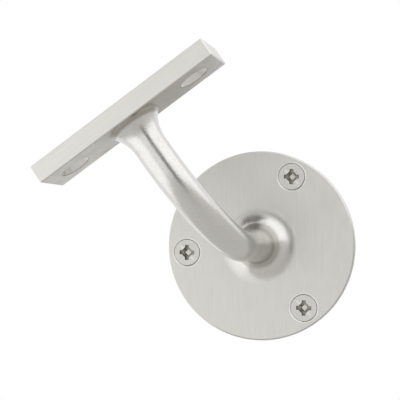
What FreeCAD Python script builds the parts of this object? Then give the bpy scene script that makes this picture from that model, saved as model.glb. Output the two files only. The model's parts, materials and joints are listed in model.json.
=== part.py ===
"""Handrail bracket: a cast bracket on a round rose, with its three wall screws.

Frame: the origin is the centre of the rose's back face, which lies on the wall.
+X runs along the handrail, -Y points out from the wall and +Z is up.
The casting is one piece: a flat round rose, a round arm that grows out of its middle
through a trumpet flare, tapers, turns up in one bend and flares again into the flat
saddle bar that carries the rail. Three countersunk cross-head wood screws sit in the
rose; the two countersunk holes in the saddle bar are empty, ready for the rail screws.
Millimetres throughout.
"""
import FreeCAD, Part
import math
import os
import Sketcher
from FreeCAD import Placement, Rotation, Vector

# Driving dimensions: alias, value, what it is.
DIMENSIONS = [
    ("rose_radius", 38.0, "outer radius of the round rose"),
    ("rose_thickness", 3.4, "thickness of the rose"),
    ("rose_bevel", 0.6, "width of the bevel that breaks the front rim"),
    ("root_flare_end", 12.0, "distance from the wall at which the root flare ends"),
    ("root_radius", 6.8, "radius of the arm there"),
    ("taper_end", 32.0, "distance from the wall at which the arm's taper ends"),
    ("arm_radius", 5.95, "radius of the round arm from there on"),
    ("arm_bend", 41.0, "radius of the arm's bend, on its centre line"),
    ("projection", 82.0, "distance from the wall to the middle of the saddle bar"),
    ("rail_height", 52.3, "height of the saddle bar's underside above the rose's centre"),
    ("top_flare_radius", 9.8, "radius of the flare where it meets the saddle bar"),
    ("top_flare_height", 10.0, "length of that flare along the arm"),
    ("top_flare_lip", 0.3, "thin step at the foot of the flare"),
    ("bar_length", 73.5, "length of the saddle bar"),
    ("bar_width", 22.5, "width of the saddle bar"),
    ("bar_thickness", 6.9, "thickness of the saddle bar"),
    ("bar_bevel", 0.4, "width of the bevel on the saddle bar's edges"),
    ("rail_hole_spacing", 52.0, "distance between the two rail screw holes"),
    ("rail_hole_diameter", 5.5, "diameter of a rail screw hole"),
    ("rail_sink_diameter", 11.0, "diameter of its countersink at the underside"),
    ("sink_angle", 90.0, "included angle of every countersink"),
    ("screw_ring_radius", 30.4, "radius of the circle on which the wall screws sit"),
    ("seat_mouth_diameter", 11.4, "diameter of a wall screw's seat at the rose's front"),
    ("clearance_diameter", 6.0, "diameter of the hole behind the seat"),
    ("screw_length", 38.0, "length of a wall screw, point included"),
    ("head_diameter", 10.4, "diameter of a screw head"),
    ("head_rim", 0.3, "straight rim of a screw head"),
    ("neck_radius", 2.5, "radius of the screw inside the rose"),
    ("shank_radius", 2.75, "radius of the plain shank behind the rose"),
    ("shank_end", 13.0, "distance from the head's top at which the shank ends"),
    ("core_radius", 1.9, "radius of the core under the thread"),
    ("point_length", 3.0, "length of the conical point"),
    ("tip_radius", 0.4, "radius of the blunt tip"),
    ("wing_reach", 3.05, "half the span of the cross recess"),
    ("wing_half_width", 0.8, "half the width of one wing of the cross"),
    ("wing_depth", 1.7, "depth of the wings"),
    ("core_reach", 2.05, "where the sloping sides between the wings start, from the axis"),
    ("core_depth", 2.5, "depth of the recess at the foot of those sides"),
    ("core_floor", 0.92, "where they end, from the axis"),
    ("tick_inner", 2.25, "inner end of a tick mark, from the head's centre"),
    ("tick_length", 1.7, "length of a tick mark"),
    ("tick_width", 0.5, "width of the notch of a tick mark"),
    ("tick_depth", 0.2, "depth of that notch"),
    ("cross_turn", -36.5, "angle of each cross about its axis, from the rail's direction"),
]

# Wall screws: node name and place on the screw ring, in degrees from straight up.
WALL_SCREWS = [
    ("wall_screw_left", -60.0),
    ("wall_screw_right", 60.0),
    ("wall_screw_bottom", 180.0),
]

# Point numbers of a sketch curve, and the sketch's own axes and origin.
START, END, CENTRE = 1, 2, 3
X_AXIS, Y_AXIS = -1, -2
ORIGIN = (-1, 1)
TOLERANCE = 1e-5

doc = FreeCAD.newDocument("handrail_bracket")
sheet = doc.addObject("Spreadsheet::Sheet", "dims")
size = {}
for row, (alias, value, note) in enumerate(DIMENSIONS, start=1):
    sheet.set(f"A{row}", alias)
    sheet.set(f"B{row}", str(value))
    sheet.set(f"C{row}", note)
    sheet.setAlias(f"B{row}", alias)
    size[alias] = value
doc.recompute()


def new_body(label):
    """An empty body whose label names its file."""
    body = doc.addObject("PartDesign::Body", label)
    body.Label = label
    return body


def origin_feature(body, role):
    """The body's own origin plane or axis of that role."""
    return next(item for item in body.Origin.OriginFeatures if item.Role == role)


def new_sketch(body, name, plane, offset=None, flipped=False):
    """A sketch on one of the body's origin planes, moved along its normal by offset."""
    sketch = body.newObject("Sketcher::SketchObject", name)
    sketch.AttachmentSupport = [(origin_feature(body, plane), "")]
    sketch.MapMode = "FlatFace"
    sketch.MapReversed = flipped
    if offset:
        sketch.setExpression(".AttachmentOffset.Base.z", offset)
    doc.recompute()
    return sketch


def new_feature(body, kind, name, sketch, **settings):
    """A feature of the body, made from a sketch."""
    feature = body.newObject("PartDesign::" + kind, name)
    feature.Profile = sketch
    for key, value in settings.items():
        setattr(feature, key, value)
    return feature


def trace(sketch, points, centres=None, closed=True):
    """Run curves from point to point: an arc where centres names one, else a line."""
    centres = centres or {}
    runs = list(zip(points, points[1:] + points[:1]))
    for number, (first, second) in enumerate(runs if closed else runs[:-1]):
        start, end = Vector(*first), Vector(*second)
        if number not in centres:
            sketch.addGeometry(Part.LineSegment(start, end))
            continue
        centre = Vector(*centres[number])
        middle = (start + end) * 0.5 - centre
        middle = centre + middle.normalize() * (start - centre).Length
        sketch.addGeometry(Part.Arc(start, middle, end))


def end_at(sketch, curve, point):
    """Which end of the curve lies at the point."""
    gap = (sketch.getPoint(curve, START) - Vector(*point)).Length
    return START if gap < TOLERANCE else END


def tie(sketch, points, smooth=(), closed=True):
    """Join consecutive curves end to end, tangent at the points listed in smooth."""
    count = len(points) if closed else len(points) - 1
    for number in range(0 if closed else 1, count):
        before = (number - 1) % count
        ends = (
            before, end_at(sketch, before, points[number]),
            number, end_at(sketch, number, points[number]),
        )
        kind = "Tangent" if number in smooth else "Coincident"
        sketch.addConstraint(Sketcher.Constraint(kind, *ends))


def drive(sketch, name, expression, kind, *references):
    """Add a dimension whose value comes from the sheet."""
    index = sketch.addConstraint(Sketcher.Constraint(kind, *references))
    sketch.renameConstraint(index, name)
    sketch.setExpression("Constraints." + name, expression)


def place(sketch, curve, point, expressions):
    """Hold one end of a curve at the point, by the sizes that its two places come from.

    An expression is the distance from the sketch's origin along that axis, or None
    where another constraint holds it. A place of zero lies on the other axis.
    """
    end = end_at(sketch, curve, point)
    for axis, value, expression in zip("XY", point, expressions):
        if expression is None:
            continue
        if abs(value) < TOLERANCE:
            on = Y_AXIS if axis == "X" else X_AXIS
            sketch.addConstraint(Sketcher.Constraint("PointOnObject", curve, end, on))
            continue
        ends = (*ORIGIN, curve, end) if value > 0 else (curve, end, *ORIGIN)
        drive(sketch, f"{axis}{curve}_{end}", expression, "Distance" + axis, *ends, abs(value))


def polygon(sketch, corners, expressions):
    """A closed polygon, each corner held by a pair of expressions."""
    trace(sketch, corners)
    tie(sketch, corners)
    for number, (corner, pair) in enumerate(zip(corners, expressions)):
        place(sketch, number, corner, pair)


def ring_sketch(body, name, plane, offset, radius):
    """A circle about the body's own axis, on a plane moved along that axis by offset."""
    sketch = new_sketch(body, name, plane, offset)
    sketch.addGeometry(Part.Circle(Vector(0, 0), Vector(0, 0, 1), size[radius]))
    sketch.addConstraint(Sketcher.Constraint("Coincident", 0, CENTRE, *ORIGIN))
    drive(sketch, radius, "dims." + radius, "Radius", 0, size[radius])
    return sketch


def make_rose(body):
    """Turn the flat rose with the trumpet flare that carries the arm.

    The half section lies in the plane of y and z and turns about the y axis. The flare
    is an arc that touches the front face and, at its end, the side of the tapering arm.
    """
    radius, thick, bevel = size["rose_radius"], size["rose_thickness"], size["rose_bevel"]
    root, arm = size["root_radius"], size["arm_radius"]
    flare_end = -size["root_flare_end"]
    taper_end = -size["taper_end"]
    taper = math.atan2(root - arm, flare_end - taper_end)
    flare = (-flare_end - thick) / (1 - math.sin(taper))
    flare_centre = (-thick - flare, root + flare * math.cos(taper))

    sketch = new_sketch(body, "rose_section", "YZ_Plane")
    points = [
        (0, 0), (0, radius), (bevel - thick, radius), (-thick, radius - bevel),
        (-thick, flare_centre[1]), (flare_end, root), (flare_end, 0),
    ]
    rim, face, flare_arc, end_face = 2, 3, 4, 5
    trace(sketch, points, {flare_arc: flare_centre})
    tie(sketch, points, smooth=(flare_arc,))
    place(sketch, 0, points[0], ("0", "0"))
    place(sketch, 1, points[1], ("0", "dims.rose_radius"))
    place(sketch, rim, points[2],
          ("dims.rose_thickness - dims.rose_bevel", "dims.rose_radius"))
    place(sketch, face, points[3],
          ("dims.rose_thickness", "dims.rose_radius - dims.rose_bevel"))
    sketch.addConstraint(Sketcher.Constraint("Vertical", face))
    place(sketch, end_face, points[5], ("dims.root_flare_end", "dims.root_radius"))
    place(sketch, end_face, points[6], ("dims.root_flare_end", "0"))
    # A line that only guides: the arm's tapering side.
    side = sketch.addGeometry(
        Part.LineSegment(Vector(*points[5]), Vector(taper_end, arm)), True)
    sketch.addConstraint(Sketcher.Constraint(
        "Tangent", flare_arc, end_at(sketch, flare_arc, points[5]), side, START))
    place(sketch, side, (taper_end, arm), ("dims.taper_end", "dims.arm_radius"))
    new_feature(body, "Revolution", "rose", sketch, ReferenceAxis=(sketch, ["H_Axis"]))


def make_arm(body):
    """Loft the arm's tapering root, then sweep it straight, round its bend and up."""
    start, out = size["arm_bend"] - size["projection"], -size["projection"]
    bend, taper_end = size["arm_bend"], -size["taper_end"]
    top = size["rail_height"] - size["top_flare_height"]
    path = new_sketch(body, "arm_path", "YZ_Plane")
    points = [(taper_end, 0), (start, 0), (out, bend), (out, top)]
    bend_arc, riser = 1, 2
    trace(path, points, {bend_arc: (start, bend)}, closed=False)
    tie(path, points, smooth=(bend_arc, riser), closed=False)
    place(path, 0, points[0], ("dims.taper_end", "0"))
    path.addConstraint(Sketcher.Constraint("Horizontal", 0))
    drive(path, "bend", "dims.arm_bend", "Radius", bend_arc, bend)
    place(path, riser, points[3],
          ("dims.projection", "dims.rail_height - dims.top_flare_height"))
    path.addConstraint(Sketcher.Constraint("Vertical", riser))

    root = ring_sketch(
        body, "arm_root", "XZ_Plane", "dims.root_flare_end", "root_radius")
    ring = ring_sketch(body, "arm_section", "XZ_Plane", "dims.taper_end", "arm_radius")
    doc.recompute()
    new_feature(body, "AdditiveLoft", "arm_root_taper", root, Sections=[ring])
    doc.recompute()
    new_feature(body, "AdditivePipe", "arm", ring, Spine=path)


def make_top_flare(body):
    """Turn the flare by which the arm spreads into the saddle bar's underside."""
    out, under = -size["projection"], size["rail_height"]
    arm, wide = size["arm_radius"], size["top_flare_radius"]
    start, lip = under - size["top_flare_height"], under - size["top_flare_lip"]
    flare = ((wide - arm) ** 2 + (lip - start) ** 2) / (2 * (wide - arm))
    sketch = new_sketch(body, "top_flare_section", "YZ_Plane")
    points = [
        (out, start), (out - arm, start), (out - wide, lip), (out - wide, under),
        (out, under),
    ]
    flare_arc, axis = 1, 4
    trace(sketch, points, {flare_arc: (out - arm - flare, start)})
    tie(sketch, points)
    place(sketch, 0, points[0],
          ("dims.projection", "dims.rail_height - dims.top_flare_height"))
    place(sketch, flare_arc, points[1],
          ("dims.projection + dims.arm_radius", "dims.rail_height - dims.top_flare_height"))
    place(sketch, 2, points[2],
          ("dims.projection + dims.top_flare_radius", "dims.rail_height - dims.top_flare_lip"))
    place(sketch, 3, points[3],
          ("dims.projection + dims.top_flare_radius", "dims.rail_height"))
    place(sketch, axis, points[4], ("dims.projection", "dims.rail_height"))
    sketch.addConstraint(Sketcher.Constraint(
        "Horizontal", flare_arc, CENTRE, flare_arc,
        end_at(sketch, flare_arc, points[1])))
    turning_line = sketch.addGeometry(
        Part.LineSegment(Vector(out, 0), Vector(out, start)), True)
    sketch.addConstraint(Sketcher.Constraint("Coincident", turning_line, END, 0, START))
    sketch.addConstraint(Sketcher.Constraint("Vertical", turning_line))
    sketch.addConstraint(
        Sketcher.Constraint("PointOnObject", turning_line, START, X_AXIS))
    new_feature(body, "Revolution", "top_flare", sketch, ReferenceAxis=(sketch, ["Axis0"]))


def make_bar(body):
    """Pad the flat saddle bar and bevel its twelve edges a little."""
    sketch = new_sketch(body, "bar_outline", "XY_Plane", "dims.rail_height")
    half, out = size["bar_length"] / 2, -size["projection"]
    side = size["bar_width"] / 2
    ends = ("dims.bar_length / 2", "dims.projection {} dims.bar_width / 2")
    corners = [(-half, out - side), (half, out - side), (half, out + side), (-half, out + side)]
    expressions = [(ends[0], ends[1].format(sign)) for sign in "++--"]
    polygon(sketch, corners, expressions)
    bar = new_feature(body, "Pad", "bar", sketch)
    bar.setExpression("Length", "dims.bar_thickness")
    doc.recompute()

    under, over = size["rail_height"], size["rail_height"] + size["bar_thickness"]
    faces = (
        lambda p: abs(abs(p.x) - half) < TOLERANCE,
        lambda p: abs(abs(p.y - out) - side) < TOLERANCE,
        lambda p: min(abs(p.z - under), abs(p.z - over)) < TOLERANCE,
    )
    edges = [
        f"Edge{number}"
        for number, edge in enumerate(bar.Shape.Edges, start=1)
        if sum(all(face(v.Point) for v in edge.Vertexes) for face in faces) >= 2
        and max(v.Z for v in edge.Vertexes) > under - TOLERANCE
    ]
    bevel = body.newObject("PartDesign::Chamfer", "bar_edges")
    bevel.Base = (bar, edges)
    bevel.setExpression("Size", "dims.bar_bevel")
    doc.recompute()


def sink_wall_seats(body):
    """Sink one seat for a wall screw into the rose, and repeat it round the ring."""
    ring, level, rim = size["screw_ring_radius"], -size["rose_thickness"], size["head_rim"]
    head, hole = size["head_diameter"] / 2, size["clearance_diameter"] / 2
    mouth = size["seat_mouth_diameter"] / 2
    above, behind = -size["root_flare_end"], size["rose_thickness"]
    floor = level + rim + (head - hole) / math.tan(math.radians(size["sink_angle"] / 2))
    sketch = new_sketch(body, "seat_section", "YZ_Plane")
    # The mouth's slope runs on a little above the front face, to cut it cleanly.
    points = [
        (above, -ring), (above, 2 * mouth - head - ring), (level - rim, 2 * mouth - head - ring),
        (level + rim, head - ring), (floor, hole - ring), (behind, hole - ring),
        (behind, -ring),
    ]
    bore = "dims.screw_ring_radius - dims.{} / 2"
    wide = "dims.screw_ring_radius - dims.seat_mouth_diameter + dims.head_diameter / 2"
    expressions = [
        ("dims.root_flare_end", "dims.screw_ring_radius"),
        ("dims.root_flare_end", wide),
        ("dims.rose_thickness + dims.head_rim", wide),
        ("dims.rose_thickness - dims.head_rim", bore.format("head_diameter")),
        ("dims.rose_thickness - dims.head_rim - (dims.head_diameter - dims.clearance_diameter)"
         " / 2 / tan(dims.sink_angle * 0.5 deg)", bore.format("clearance_diameter")),
        ("dims.rose_thickness", bore.format("clearance_diameter")),
        ("dims.rose_thickness", "dims.screw_ring_radius"),
    ]
    polygon(sketch, points, expressions)
    turning_line = sketch.addGeometry(
        Part.LineSegment(Vector(above, -ring), Vector(2 * above, -ring)), True)
    sketch.addConstraint(Sketcher.Constraint("Coincident", turning_line, START, 0, START))
    place(sketch, turning_line, (2 * above, -ring),
          ("2 * dims.root_flare_end", "dims.screw_ring_radius"))
    seat_cut = new_feature(
        body, "Groove", "wall_screw_seat", sketch, ReferenceAxis=(sketch, ["Axis0"]))
    doc.recompute()
    ring_of_seats = body.newObject("PartDesign::PolarPattern", "wall_screw_seats")
    ring_of_seats.Originals = [seat_cut]
    ring_of_seats.Axis = (origin_feature(body, "Y_Axis"), [""])
    ring_of_seats.Angle = 360
    ring_of_seats.Occurrences = len(WALL_SCREWS)
    body.Tip = ring_of_seats
    doc.recompute()


def drill_rail_holes(body):
    """Drill and countersink the two rail screw holes from the saddle bar's underside."""
    sketch = new_sketch(
        body, "rail_hole_centres", "XY_Plane", "-dims.rail_height", flipped=True)
    reach, out = size["rail_hole_spacing"] / 2, size["projection"]
    drill = size["rail_hole_diameter"] / 2
    for number, side in enumerate((-1, 1)):
        centre = Vector(side * reach, -out)
        sketch.addGeometry(Part.Circle(centre, Vector(0, 0, 1), drill))
        across = (number, CENTRE, *ORIGIN) if side < 0 else (*ORIGIN, number, CENTRE)
        drive(sketch, f"reach{number}", "dims.rail_hole_spacing / 2",
              "DistanceX", *across, reach)
        drive(sketch, f"out{number}", "dims.projection",
              "DistanceY", number, CENTRE, *ORIGIN, out)
        drive(sketch, f"drill{number}", "dims.rail_hole_diameter / 2",
              "Radius", number, drill)
    doc.recompute()
    holes = new_feature(
        body, "Hole", "rail_screw_holes", sketch, DepthType="ThroughAll",
        HoleCutType="Countersink", HoleCutCustomValues=True)
    holes.setExpression("Diameter", "dims.rail_hole_diameter")
    holes.setExpression("HoleCutDiameter", "dims.rail_sink_diameter")
    holes.setExpression("HoleCutCountersinkAngle", "dims.sink_angle")
    doc.recompute()


def make_casting():
    """The one-piece casting: rose, arm and saddle bar."""
    body = new_body("bracket_casting")
    make_rose(body)
    make_arm(body)
    make_top_flare(body)
    make_bar(body)
    sink_wall_seats(body)
    drill_rail_holes(body)
    return body


def make_screw_blank(body):
    """Turn a screw about its own z axis: head, neck, plain shank, thread core, point."""
    head, rim = size["head_diameter"] / 2, size["head_rim"]
    neck, shank, core = size["neck_radius"], size["shank_radius"], size["core_radius"]
    wall, shank_end = size["rose_thickness"], size["shank_end"]
    thread_end = size["screw_length"] - size["point_length"]
    sketch = new_sketch(body, "screw_section", "XZ_Plane")
    points = [
        (0, 0), (head, 0), (head, -rim), (neck, -(rim + head - neck)), (neck, -wall),
        (shank, -wall), (shank, -shank_end), (core, -shank_end), (core, -thread_end),
        (size["tip_radius"], -size["screw_length"]), (0, -size["screw_length"]),
    ]
    expressions = [
        ("0", "0"),
        ("dims.head_diameter / 2", "0"),
        ("dims.head_diameter / 2", "dims.head_rim"),
        ("dims.neck_radius", "dims.head_rim + dims.head_diameter / 2 - dims.neck_radius"),
        ("dims.neck_radius", "dims.rose_thickness"),
        ("dims.shank_radius", "dims.rose_thickness"),
        ("dims.shank_radius", "dims.shank_end"),
        ("dims.core_radius", "dims.shank_end"),
        ("dims.core_radius", "dims.screw_length - dims.point_length"),
        ("dims.tip_radius", "dims.screw_length"),
        ("0", "dims.screw_length"),
    ]
    polygon(sketch, points, expressions)
    new_feature(body, "Revolution", "blank", sketch, ReferenceAxis=(sketch, ["V_Axis"]))
    doc.recompute()


def cut_recess(body):
    """Sink the wings of the cross, slope the four sides between them, notch the ticks."""
    reach, half = size["wing_reach"], size["wing_half_width"]
    names = {reach: "dims.wing_reach", half: "dims.wing_half_width"}
    quarter = [(reach, -half), (reach, half), (half, half)]
    turned = quarter + [(-y, x) for x, y in quarter]
    corners = turned + [(-x, -y) for x, y in turned]
    wings = new_sketch(body, "wings_outline", "XY_Plane")
    polygon(wings, corners, [(names[abs(x)], names[abs(y)]) for x, y in corners])
    cut = new_feature(body, "Pocket", "wings", wings)
    cut.setExpression("Length", "dims.wing_depth")
    doc.recompute()

    def cut_four(name, corners, expressions, distance, length):
        """Cut a section inwards from an upright plane turned 45 degrees, four times."""
        section = new_sketch(body, f"{name}_section", "XZ_Plane", f"{distance} * cos(45 deg)")
        section.AttachmentOffset = Placement(
            section.AttachmentOffset.Base, Rotation(Vector(0, 1, 0), 45))
        section.setExpression(".AttachmentOffset.Base.x", f"{distance} * sin(45 deg)")
        polygon(section, corners, expressions)
        cut = new_feature(body, "Pocket", name, section)
        cut.setExpression("Length", length)
        doc.recompute()
        four = body.newObject("PartDesign::PolarPattern", f"{name}s")
        four.Originals = [cut]
        four.Axis = (origin_feature(body, "Z_Axis"), [""])
        four.Angle = 360
        four.Occurrences = 4
        body.Tip = four
        doc.recompute()

    deep, floor = size["core_depth"], size["core_floor"]
    cut_four("core_side", [(0, 0), (size["core_reach"], 0), (floor, -deep), (0, -deep)],
             [("0", "0"), ("dims.core_reach", "0"), ("dims.core_floor", "dims.core_depth"),
              ("0", "dims.core_depth")],
             "dims.core_floor", "2 * dims.core_floor")
    wide, deep = size["tick_width"] / 2, size["tick_depth"]
    cut_four("tick", [(-wide, 0), (0, -deep), (wide, 0)],
             [("dims.tick_width / 2", "0"), ("0", "dims.tick_depth"),
              ("dims.tick_width / 2", "0")],
             "(dims.tick_inner + dims.tick_length)", "dims.tick_length")


def make_wall_screw(label, angle):
    """One countersunk wood screw, turned to point into the wall at its place on the ring."""
    body = new_body(label)
    make_screw_blank(body)
    cut_recess(body)
    outward = Rotation(Vector(1, 0, 0), 90)
    turn = Rotation(Vector(0, -1, 0), size["cross_turn"])
    body.Placement = Placement(Vector(), turn * outward)
    body.setExpression(".Placement.Base.x", f"dims.screw_ring_radius * sin({angle} deg)")
    body.setExpression(".Placement.Base.y", "-dims.rose_thickness")
    body.setExpression(".Placement.Base.z", f"dims.screw_ring_radius * cos({angle} deg)")
    return body


def check(pieces):
    """Stop if any object failed, a piece is no single valid solid, or a cut cut nothing."""
    failed = [
        item.Name for item in doc.Objects
        if "Invalid" in item.State or "Error" in item.State
    ]
    if failed:
        raise RuntimeError(f"failed to compute: {failed}")
    for body in pieces:
        shape = body.Shape
        if shape.isNull() or not shape.isValid() or len(shape.Solids) != 1:
            raise RuntimeError(f"{body.Label} is not one valid solid")
        previous = None
        for feature in body.Group:
            if not feature.isDerivedFrom("PartDesign::Feature"):
                continue
            volume = feature.Shape.Volume
            cuts = any(word in feature.TypeId for word in ("Groove", "Hole", "Pocket", "Sub"))
            if cuts and volume >= previous:
                raise RuntimeError(f"{feature.Name} removes nothing from {body.Label}")
            previous = volume


casting = make_casting()
screws = [make_wall_screw(label, angle) for label, angle in WALL_SCREWS]
doc.recompute()
pieces = [casting, *screws]
check(pieces)

os.makedirs("parts", exist_ok=True)
for body in pieces:
    body.Shape.exportStep(f"parts/{body.Label}.step")
    box = body.Shape.BoundBox
    print(f"{body.Label}: {body.Shape.Volume / 1000:.2f} cm3, "
          f"{box.XLength:.2f} x {box.YLength:.2f} x {box.ZLength:.2f} mm")
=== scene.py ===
import json
import math

import bpy
import numpy as np
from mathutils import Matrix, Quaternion, Vector


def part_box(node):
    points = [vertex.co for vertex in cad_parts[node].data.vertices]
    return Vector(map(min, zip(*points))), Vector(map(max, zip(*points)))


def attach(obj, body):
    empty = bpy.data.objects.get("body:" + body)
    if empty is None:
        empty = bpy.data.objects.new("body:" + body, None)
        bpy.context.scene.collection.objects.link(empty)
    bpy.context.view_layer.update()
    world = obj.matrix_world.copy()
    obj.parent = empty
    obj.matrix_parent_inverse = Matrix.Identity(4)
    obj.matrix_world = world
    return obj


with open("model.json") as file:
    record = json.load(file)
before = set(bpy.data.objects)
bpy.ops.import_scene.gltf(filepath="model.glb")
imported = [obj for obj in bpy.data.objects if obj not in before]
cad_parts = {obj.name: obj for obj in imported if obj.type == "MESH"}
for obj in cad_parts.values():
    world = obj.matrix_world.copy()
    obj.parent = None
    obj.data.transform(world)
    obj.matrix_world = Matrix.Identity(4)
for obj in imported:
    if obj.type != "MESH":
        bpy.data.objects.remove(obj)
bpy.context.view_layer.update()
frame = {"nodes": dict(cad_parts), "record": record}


# The casting: rose, arm and saddle bar in one piece of cast metal, linished on a belt
# and plated in satin nickel. The belt leaves fine parallel lines on the rose and the
# bar, while the arm is finished by hand and shows a mottled grain.

MM = 0.001
# The rose, arm and bar are one nickel plating. Their different greys are painted light: the rose
# is painted darker than the arm and the bar.
ROSE_NICKEL = (0.63, 0.622, 0.59)
ARM_NICKEL = (0.69, 0.68, 0.655)
BAR_NICKEL = (0.70, 0.692, 0.66)
# Painted highlight grey, for the countersink cones and the screw seats' rims.
PAINTED_HIGHLIGHT_NICKEL = (0.80, 0.79, 0.77)
# Painted shade grey, for the corner under the bar and the countersinks' lips.
PAINTED_SHADE_NICKEL = (0.41, 0.39, 0.35)
LINES_LOW, LINES_HIGH = 0.95, 1.04
BELT_ROUGHNESS, ARM_ROUGHNESS = 0.34, 0.23
ROUGHNESS_SPREAD = 0.04
BELT_RELIEF, ARM_RELIEF = 0.007 * MM, 0.045 * MM
ROSE_LINE = (0.28 * MM, 3 * MM, 14 * MM)
ROSE_LINE_TURN = math.radians(-35)
BAR_LINE = (16 * MM, 0.3 * MM, 0.3 * MM)
ARM_GRAIN = (0.9 * MM, 0.9 * MM, 0.9 * MM)
CASTING_CLOUD = (5 * MM, 5 * MM, 5 * MM)

RAIL_MOUNT = next(
    mount for mount in frame["record"]["mounts"] if mount["name"] == "rail_screw_holes")
BAR_THICKNESS = 6.9 * MM
BAR_UNDERSIDE = RAIL_MOUNT["pos_m"][2] - BAR_THICKNESS
HOLE_REACH = RAIL_MOUNT["dims"]["spacing_x_mm"] / 2 * MM
RAIL_HOLES = [(side * HOLE_REACH, RAIL_MOUNT["pos_m"][1], 0.0) for side in (-1, 1)]
SCREWS = ["wall_screw_left", "wall_screw_right", "wall_screw_bottom"]
SCREW_CENTRES = [(sum(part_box(screw), Vector()) / 2)[:] for screw in SCREWS]
ROSE_THICKNESS = 3.4 * MM
ROSE_FACE = -ROSE_THICKNESS
ARM_START = ROSE_FACE - 1.0 * MM
BLEND = 1.5 * MM

# A band is given as from, to and soft edge. Heights are from the bar's underside, and
# depths from the face of the rose.
# The corner and lip bands place painted shade, and the cone and seat bands a painted highlight.
CORNER_HEIGHTS = (-1.5 * MM, -0.02 * MM, 0.6 * MM)
LIP_RADII, LIP_HEIGHTS = (5.2 * MM, 5.8 * MM, 0.15 * MM), (-1 * MM, 1 * MM, 0.2 * MM)
CONE_RADII, CONE_HEIGHTS = (2.85 * MM, 5.3 * MM, 0.1 * MM), (0.1 * MM, 3 * MM, 0.1 * MM)
SEAT_RADII, SEAT_DEPTHS = (5.28 * MM, 5.9 * MM, 0.1 * MM), (-0.2 * MM, 0.5 * MM, 0.1 * MM)


def add(tree, kind, inputs=None, **settings):
    """A node of that kind, its settings made and each input set or linked."""
    node = tree.nodes.new("ShaderNode" + kind)
    for name, value in settings.items():
        setattr(node, name, value)
    for name, value in (inputs or {}).items():
        if isinstance(value, bpy.types.NodeSocket):
            tree.links.new(value, node.inputs[name])
        else:
            node.inputs[name].default_value = value
    return node


def calculate(tree, operation, first, second=0.0, third=0.0, clamp=False):
    """The result of one Math node."""
    return add(tree, "Math", {0: first, 1: second, 2: third},
               operation=operation, use_clamp=clamp).outputs[0]


def new_metal(name, colour, roughness):
    """An empty metal, its shader and its object coordinates."""
    metal = bpy.data.materials.new(name)
    metal.use_nodes = True
    tree = metal.node_tree
    shader = tree.nodes["Principled BSDF"]
    shader.inputs["Base Color"].default_value = (*colour, 1.0)
    shader.inputs["Metallic"].default_value = 1.0
    shader.inputs["Roughness"].default_value = roughness
    place = add(tree, "TexCoord").outputs["Object"]
    return metal, tree, shader, place


def noise(tree, place, period, turn=0.0, detail=3.0):
    """Noise whose features measure period along x, y and z, turned about the y axis."""
    grid = add(tree, "Mapping", {
        "Vector": place,
        "Rotation": (0.0, turn, 0.0),
    }).outputs["Vector"]
    grid = add(tree, "VectorMath", {
        0: grid,
        1: tuple(1.0 / length for length in period),
    }, operation="MULTIPLY").outputs["Vector"]
    return add(tree, "TexNoise", {
        "Vector": grid, "Scale": 1.0, "Detail": detail, "Roughness": 0.6,
    }).outputs["Fac"]


def vary(tree, value, low, high):
    """Noise, from its middle range, spread from low to high."""
    return add(tree, "MapRange", {
        "Value": value, "From Min": 0.3, "From Max": 0.7, "To Min": low, "To Max": high,
    }).outputs["Result"]


def mix(tree, share, first, second):
    """first where share is 0, second where it is 1."""
    node = add(tree, "Mix", {0: share, 2: first, 3: second}, data_type="FLOAT")
    return node.outputs[0]


def both(tree, first, second):
    """One where both shares are one: their product."""
    return calculate(tree, "MULTIPLY", first, second)


def over(tree, value, limit, soft):
    """One above the limit and zero below it, changing over soft."""
    return calculate(tree, "MULTIPLY_ADD", value, 1 / soft, 0.5 - limit / soft, clamp=True)


def under(tree, value, limit, soft):
    """One below the limit and zero above it, changing over soft."""
    return over(tree, value, limit, -soft)


def between(tree, value, low, high, soft):
    """One from low to high and zero elsewhere, changing over soft."""
    return both(tree, over(tree, value, low, soft), under(tree, value, high, soft))


def from_axes(tree, place, centres, direction):
    """Distance from the nearest of some parallel lines through centres."""
    across = tuple(0.0 if part else 1.0 for part in direction)
    flat = add(tree, "VectorMath", {0: place, 1: across}, operation="MULTIPLY").outputs[0]
    nearest = None
    for centre in centres:
        foot = tuple(c * a for c, a in zip(centre, across))
        away = add(tree, "VectorMath", {0: flat, 1: foot}, operation="DISTANCE").outputs["Value"]
        nearest = away if nearest is None else calculate(tree, "MINIMUM", nearest, away)
    return nearest


def tint(tree, share, first, second):
    """A colour between first and second, each a colour or a socket."""
    ends = [c if isinstance(c, bpy.types.NodeSocket) else (*c, 1.0) for c in (first, second)]
    node = add(tree, "Mix", {0: share, 6: ends[0], 7: ends[1]}, data_type="RGBA")
    return node.outputs[2]


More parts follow.
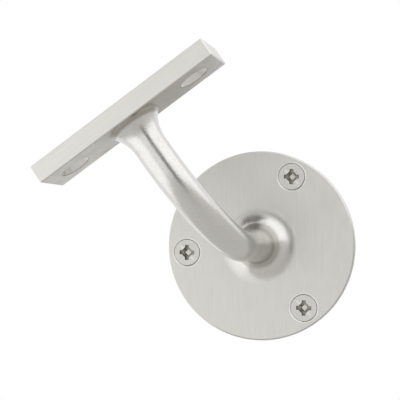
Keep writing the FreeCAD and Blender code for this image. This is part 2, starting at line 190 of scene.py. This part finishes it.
def casting_tones(tree, place, axes, on_rose, on_bar, relief):
    """The nickel's greys, with painted shade and painted highlights.

    Shade is painted in the corner, where the arm meets the bar, and on the lips of the two
    countersinks under the bar. Highlights are painted in their cones and on the rims of
    the screw seats in the rose.
    """
    # Painted light: the one nickel in three greys, with the rose darker than the arm and the
    # bar.
    shade = tint(tree, on_bar, tint(tree, on_rose, ARM_NICKEL, ROSE_NICKEL), BAR_NICKEL)
    shade = add(tree, "VectorMath", {
        0: shade, "Scale": vary(tree, relief, LINES_LOW, LINES_HIGH),
    }, operation="SCALE").outputs[0]

    height = calculate(tree, "SUBTRACT", axes["Z"], BAR_UNDERSIDE)
    from_hole = from_axes(tree, place, RAIL_HOLES, (0, 0, 1))
    # Painted shade: darker in the corner where the arm meets the bar and on the countersinks'
    # lips.
    corner = between(tree, height, *CORNER_HEIGHTS)
    lip = both(tree, between(tree, from_hole, *LIP_RADII),
               between(tree, height, *LIP_HEIGHTS))
    shade = tint(tree, calculate(tree, "MAXIMUM", corner, lip), shade, PAINTED_SHADE_NICKEL)

    # Painted highlight: brighter inside the countersink cones and on the rims of the screw
    # seats.
    cone = both(tree, between(tree, from_hole, *CONE_RADII),
                between(tree, height, *CONE_HEIGHTS))
    depth = calculate(tree, "SUBTRACT", axes["Y"], ROSE_FACE)
    from_screw = from_axes(tree, place, SCREW_CENTRES, (0, 1, 0))
    rim = both(tree, between(tree, from_screw, *SEAT_RADII),
               between(tree, depth, *SEAT_DEPTHS))
    return tint(tree, calculate(tree, "MAXIMUM", rim, cone), shade, PAINTED_HIGHLIGHT_NICKEL)


def satin_nickel():
    """Brushed nickel: belt lines on the rose and the bar, a grain on the arm."""
    metal, tree, shader, place = new_metal("satin_nickel", ROSE_NICKEL, BELT_ROUGHNESS)
    axes = add(tree, "SeparateXYZ", {"Vector": place}).outputs
    on_bar = over(tree, axes["Z"], BAR_UNDERSIDE - BLEND / 2, BLEND)
    on_rose = over(tree, axes["Y"], ARM_START, BLEND)
    brushed = calculate(tree, "MAXIMUM", on_rose, on_bar)

    rose_lines = noise(tree, place, ROSE_LINE, turn=ROSE_LINE_TURN)
    bar_lines = noise(tree, place, BAR_LINE)
    relief = mix(tree, on_rose, noise(tree, place, ARM_GRAIN), rose_lines)
    relief = mix(tree, on_bar, relief, bar_lines)
    height = mix(tree, brushed, ARM_RELIEF, BELT_RELIEF)
    bump = add(tree, "Bump", {"Height": relief, "Strength": 1.0, "Distance": height})
    tree.links.new(bump.outputs["Normal"], shader.inputs["Normal"])

    clouds = vary(
        tree, noise(tree, place, CASTING_CLOUD), -ROUGHNESS_SPREAD, ROUGHNESS_SPREAD)
    rough = mix(tree, brushed, ARM_ROUGHNESS, BELT_ROUGHNESS)
    tree.links.new(calculate(tree, "ADD", rough, clouds), shader.inputs["Roughness"])
    shade = casting_tones(tree, place, axes, on_rose, on_bar, relief)
    tree.links.new(shade, shader.inputs["Base Color"])
    return metal


def finish_with(node, metal):
    """Give a CAD node that one finish."""
    mesh = frame["nodes"][node].data
    mesh.materials.clear()
    mesh.materials.append(metal)


finish_with("bracket_casting", satin_nickel())


# The wall screws: three countersunk cross-head wood screws of steel, nickel plated. The
# cross and its four tick marks are punched cold. Shade is painted in the wings and round
# the head's rim, and a highlight on the tick marks.

SCREW_NICKEL = (0.61, 0.60, 0.565)
GRAIN_LOW, GRAIN_HIGH = 0.91, 1.06
# Painted shade grey for the wings and rim, and painted highlight grey for the tick marks.
PAINTED_SHADE_STEEL = (0.27, 0.255, 0.22)
TICK_HIGHLIGHT_NICKEL = (0.84, 0.83, 0.81)
SCREW_ROUGHNESS = 0.30
SCREW_RELIEF = 0.012 * MM
SCREW_GRAIN = (0.5 * MM, 0.5 * MM, 0.5 * MM)
SCREW_CLOUD = (3 * MM, 3 * MM, 3 * MM)
CROSS_TURN = math.radians(-36.5)

# A limit is given with its soft edge, a band as from, to and soft edge.
WING_HALF_WIDTH, WING_REACH = (0.84 * MM, 0.06 * MM), (3.15 * MM, 0.1 * MM)
WING_DEPTHS = (0.12 * MM, 2.35 * MM, 0.08 * MM)
TICK_WIDTH = (0.45 * MM, 0.08 * MM)
TICK_SPAN = (1.5 * MM, 3.0 * MM, 0.1 * MM)
TICK_DEPTHS = (0.015 * MM, 0.35 * MM, 0.02 * MM)
RIM_RADII, RIM_DEPTHS = (5.1 * MM, 6.0 * MM, 0.05 * MM), (0.03 * MM, 0.6 * MM, 0.03 * MM)


def head_shade_and_highlight(tree, place, centre):
    """Painted shade on one screw head's wings and rim, and painted highlights on its tick marks.

    The place is taken from the screw's axis and turned with its cross, so that the
    wings run along x and z: near and far are the smaller and larger of the two, alike
    on the diagonals, where the tick marks are.
    """
    local = add(tree, "VectorMath", {0: place, 1: (centre[0], ROSE_FACE, centre[2])},
                operation="SUBTRACT").outputs[0]
    local = add(tree, "Mapping", {"Vector": local, "Rotation": (0.0, CROSS_TURN, 0.0)})
    axes = add(tree, "SeparateXYZ", {"Vector": local.outputs["Vector"]}).outputs
    depth = axes["Y"]
    sides = [calculate(tree, "ABSOLUTE", axes[name]) for name in "XZ"]
    near = calculate(tree, "MINIMUM", *sides)
    far = calculate(tree, "MAXIMUM", *sides)
    off_diagonal = calculate(tree, "SUBTRACT", far, near)

    # Painted shade in the wings of the cross and round the head's rim.
    wings = both(tree, under(tree, near, *WING_HALF_WIDTH), under(tree, far, *WING_REACH))
    wings = both(tree, wings, between(tree, depth, *WING_DEPTHS))
    from_axis = from_axes(tree, place, [centre], (0, 1, 0))
    rim = both(tree, between(tree, from_axis, *RIM_RADII),
               between(tree, depth, *RIM_DEPTHS))
    # Painted highlight on the tick marks.
    tick_highlight = both(tree, under(tree, off_diagonal, *TICK_WIDTH),
                 between(tree, near, *TICK_SPAN))
    tick_highlight = both(tree, tick_highlight, between(tree, depth, *TICK_DEPTHS))
    return calculate(tree, "MAXIMUM", wings, rim), tick_highlight


def screw_nickel(screw, centre):
    """Grained nickel on steel, painted shade in the wings, painted highlights on the tick marks.
    """
    metal, tree, shader, place = new_metal(screw, SCREW_NICKEL, SCREW_ROUGHNESS)
    grain = noise(tree, place, SCREW_GRAIN)
    bump = add(tree, "Bump", {"Height": grain, "Strength": 1.0, "Distance": SCREW_RELIEF})
    tree.links.new(bump.outputs["Normal"], shader.inputs["Normal"])
    clouds = noise(tree, place, SCREW_CLOUD, detail=2.0)
    rough = vary(tree, clouds, SCREW_ROUGHNESS - ROUGHNESS_SPREAD,
                 SCREW_ROUGHNESS + ROUGHNESS_SPREAD)
    tree.links.new(rough, shader.inputs["Roughness"])

    shade = tint(tree, vary(tree, grain, 0.0, 1.0), [c * GRAIN_LOW for c in SCREW_NICKEL],
                 [c * GRAIN_HIGH for c in SCREW_NICKEL])
    painted_shade, tick_highlight = head_shade_and_highlight(tree, place, centre)
    # Painted shade in the wings and round the rim, and a painted highlight on the tick marks.
    shade = tint(tree, tick_highlight, tint(tree, painted_shade, shade, PAINTED_SHADE_STEEL), TICK_HIGHLIGHT_NICKEL)
    tree.links.new(shade, shader.inputs["Base Color"])
    return metal


for screw, centre in zip(SCREWS, SCREW_CENTRES):
    finish_with(screw, screw_nickel(screw, centre))


# The threads: a ridge rolled round the core of each screw, from the end of its plain
# shank to its point, where the ridge shrinks with the core.

THREAD_START, THREAD_END = 10.5 * MM, 34.2 * MM
PITCH = 2.3 * MM
CORE, TIP, CREST = 1.9 * MM, 0.4 * MM, 2.75 * MM
POINT_START, POINT_END = 31.6 * MM, 34.6 * MM
ROOT_HALF, CREST_HALF = 0.55 * MM, 0.07 * MM
BURIED = 0.12 * MM
LAST_HEIGHT = 0.35
RUN_IN, RUN_OUT = 0.8, 1.2
STEPS_PER_TURN = 60


def thread_ridge(centre):
    """A closed ridge on a helix about a line along y.

    Along the helix, depth = THREAD_START + PITCH * turns. The section there is a
    trapezium from just inside the core out to the crest. The core follows the point's
    cone, where the height shrinks towards LAST_HEIGHT of itself, and both height and
    width fade in over RUN_IN turns and out over RUN_OUT.
    """
    turns = (THREAD_END - THREAD_START) / PITCH
    count = int(turns * STEPS_PER_TURN)
    along = np.linspace(0.0, turns, count)
    depth = THREAD_START + PITCH * along
    cone = np.clip((POINT_END - depth) / (POINT_END - POINT_START), 0.0, 1.0)
    core = TIP + (CORE - TIP) * cone
    fade = np.clip(np.minimum(along / RUN_IN, (turns - along) / RUN_OUT), 0.02, 1.0)
    height = (CREST - CORE) * fade * (LAST_HEIGHT + (1.0 - LAST_HEIGHT) * cone)
    buried = np.minimum(BURIED, core / 2)
    radii = np.stack([core - buried, core + height, core + height, core - buried])
    width = np.stack([-ROOT_HALF * fade, -CREST_HALF * fade, CREST_HALF * fade,
                      ROOT_HALF * fade])
    angle = 2 * np.pi * along
    x = centre[0] + radii * np.cos(angle)
    y = depth + width
    z = centre[1] + radii * np.sin(angle)
    points = np.stack([x, y, z], axis=-1).transpose(1, 0, 2).reshape(-1, 3)
    ring = np.arange(count - 1)[:, None] * 4
    corner = np.arange(4)[None, :]
    after = (corner + 1) % 4
    sides = np.stack(
        [ring + corner, ring + 4 + corner, ring + 4 + after, ring + after], axis=-1)
    faces = sides.reshape(-1, 4).tolist()
    last = (count - 1) * 4
    faces.append([0, 1, 2, 3])
    faces.append([last + 3, last + 2, last + 1, last])
    return points.tolist(), faces


for screw, centre in zip(SCREWS, SCREW_CENTRES):
    mesh = bpy.data.meshes.new(screw + "_thread")
    points, faces = thread_ridge((centre[0], centre[2]))
    mesh.from_pydata(points, [], faces)
    mesh.materials.append(frame["nodes"][screw].data.materials[0])
    thread = bpy.data.objects.new(screw + "_thread", mesh)
    bpy.context.scene.collection.objects.link(thread)
    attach(thread, "root")


# The studio: a pale floor well below the bracket, which hangs in the air as on its
# wall, a white surround and a large soft lamp at each side. One grey card hangs above
# and another stands in front on the right, to give the round arm its dark stripe.

AIM = Vector((0.0, -0.045, 0.0))
FLOOR_POINT = AIM + Vector((0.0, 0.0, -0.44))
FLOOR_WIDTH = 12.0
MATT_FLOOR_ENDS, WHITE_FLOOR_STARTS = 0.8, 2.0
FLOOR_GREY, CARD_GREY = (0.70, 0.69, 0.67), (0.32, 0.31, 0.30)
SHOWN_LIGHT, CAST_LIGHT = 1.0, 0.85


def stage_card(name, width, height, centre, colour):
    """A flat matt card of the set that faces AIM."""
    across, up = width / 2, height / 2
    turn = (AIM - Vector(centre)).to_track_quat("Z", "Y")
    corners = [(-across, -up, 0), (across, -up, 0), (across, up, 0), (-across, up, 0)]
    mesh = bpy.data.meshes.new(name)
    mesh.from_pydata([turn @ Vector(c) + Vector(centre) for c in corners], [], [(0, 1, 2, 3)])
    paint = bpy.data.materials.new(name)
    paint.use_nodes = True
    shader = paint.node_tree.nodes["Principled BSDF"]
    shader.inputs["Base Color"].default_value = (*colour, 1.0)
    shader.inputs["Roughness"].default_value = 1.0
    mesh.materials.append(paint)
    card = bpy.data.objects.new(name, mesh)
    bpy.context.scene.collection.objects.link(card)
    return card, paint.node_tree, shader


def surround_light(tree):
    """SHOWN_LIGHT where the surround is seen, mirrored or let through, else CAST_LIGHT."""
    ray = add(tree, "LightPath").outputs
    shown = calculate(tree, "MAXIMUM", ray["Is Camera Ray"], ray["Is Glossy Ray"])
    shown = calculate(tree, "MAXIMUM", shown, ray["Is Transmission Ray"])
    return mix(tree, shown, CAST_LIGHT, SHOWN_LIGHT)


tree, matt = stage_card("floor", FLOOR_WIDTH, FLOOR_WIDTH, FLOOR_POINT, FLOOR_GREY)[1:]
place = add(tree, "TexCoord").outputs["Object"]
away = add(tree, "VectorMath", {0: place, 1: tuple(FLOOR_POINT)}, operation="DISTANCE")
far = add(tree, "MapRange", {
    "Value": away.outputs["Value"],
    "From Min": MATT_FLOOR_ENDS,
    "From Max": WHITE_FLOOR_STARTS,
}, interpolation_type="SMOOTHSTEP").outputs["Result"]
white = add(tree, "Emission", {
    "Color": (1.0, 1.0, 1.0, 1.0), "Strength": surround_light(tree)})
blend = add(tree, "MixShader", {0: far, 1: matt.outputs[0], 2: white.outputs[0]})
tree.links.new(blend.outputs[0], tree.nodes["Material Output"].inputs["Surface"])

for name, width, height, centre in (
        ("card_above", 0.5, 0.5, (0.09, -0.27, 0.57)),
        ("camera_stand", 0.26, 0.8, (0.34, -0.71, 0.0))):
    card = stage_card(name, width, height, centre, CARD_GREY)[0]
    card.visible_camera = False


def soft_lamp(name, turn, rise, distance, size, watts):
    """A square area lamp that faces AIM, turned from the front and raised by degrees."""
    turn, rise = math.radians(turn), math.radians(rise)
    out = Vector((math.sin(turn) * math.cos(rise), -math.cos(turn) * math.cos(rise),
                  math.sin(rise)))
    data = bpy.data.lights.new(name, "AREA")
    data.size = size
    data.energy = watts
    lamp = bpy.data.objects.new(name, data)
    lamp.location = AIM + out * distance
    lamp.rotation_mode = "QUATERNION"
    lamp.rotation_quaternion = out.to_track_quat("Z", "Y")
    bpy.context.scene.collection.objects.link(lamp)


soft_lamp("lamp_right", 80, 12, 0.75, 1.10, 1.35)
soft_lamp("lamp_left", -58, 14, 0.75, 1.05, 1.1)

world = bpy.data.worlds.new("studio")
bpy.context.scene.world = world
world.use_nodes = True
sky = world.node_tree
sky.links.new(surround_light(sky), sky.nodes["Background"].inputs["Strength"])
sky.nodes["Background"].inputs["Color"].default_value = (1.0, 1.0, 1.0, 1.0)


# The camera stands half a metre out, to the right and a little below, and is rolled
# so that the rail runs up to the right.

FORWARD = Vector((-0.1455, 0.9785, 0.1463))
ROLL = math.radians(-34.85)

camera_data = bpy.data.cameras.new("camera")
camera_data.lens = 112.0
camera_data.sensor_width = 36.0
camera_data.shift_x = -0.06
camera_data.shift_y = -0.005
camera_data.clip_start = 0.05
camera_data.clip_end = 50.0
camera = bpy.data.objects.new("camera", camera_data)
camera.location = (0.07225, -0.4963, -0.0494)
camera.rotation_mode = "QUATERNION"
camera.rotation_quaternion = (
    FORWARD.to_track_quat("-Z", "Y") @ Quaternion((0, 0, 1), ROLL))
bpy.context.scene.collection.objects.link(camera)
bpy.context.scene.camera = camera
bpy.context.scene.view_settings.view_transform = "Standard"
